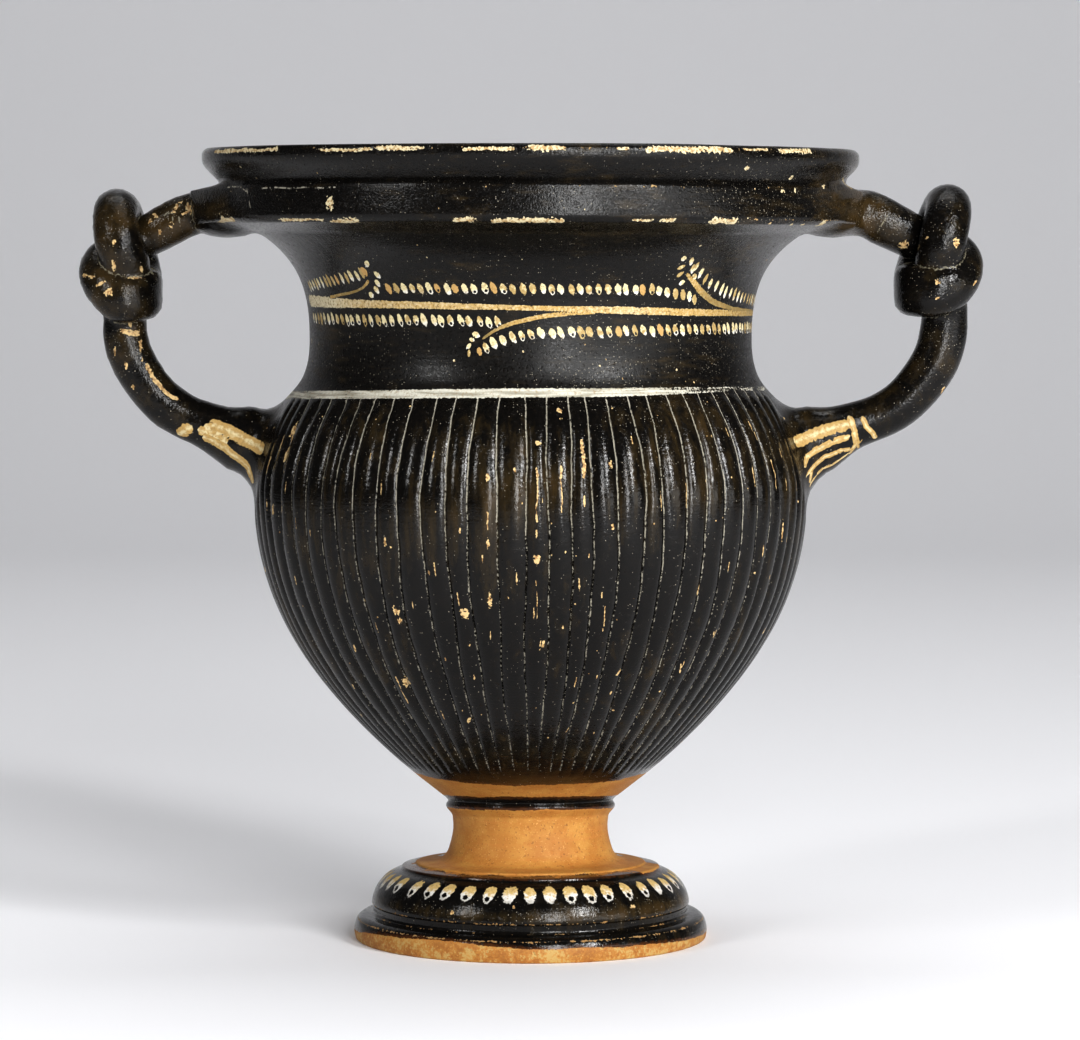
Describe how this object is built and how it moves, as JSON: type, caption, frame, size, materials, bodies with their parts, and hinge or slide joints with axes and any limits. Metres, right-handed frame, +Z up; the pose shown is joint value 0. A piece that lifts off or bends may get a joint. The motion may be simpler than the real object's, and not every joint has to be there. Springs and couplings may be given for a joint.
{
  "type": "krateriskos",
  "caption": "Small ribbed black-gloss clay mixing bowl on a stemmed foot, with a flaring collared rim and knotted handles.",
  "frame": {"origin": "centre of the resting ring under the foot, on the surface that the vessel stands on", "axes": "+Z up along the turning axis, handles along X, front of the vessel towards -Y"},
  "size_m": [0.182, 0.1322, 0.1596],
  "materials": {
    "black_gloss": "fired clay under a brown-black gloss slip, worn to cream and orange clay at the edges, with bare orange clay on the stem and foot and added cream, yellow and white paint"
  },
  "bodies": {
    "root": {"krateriskos": "black_gloss"}
  },
  "joints": []
}
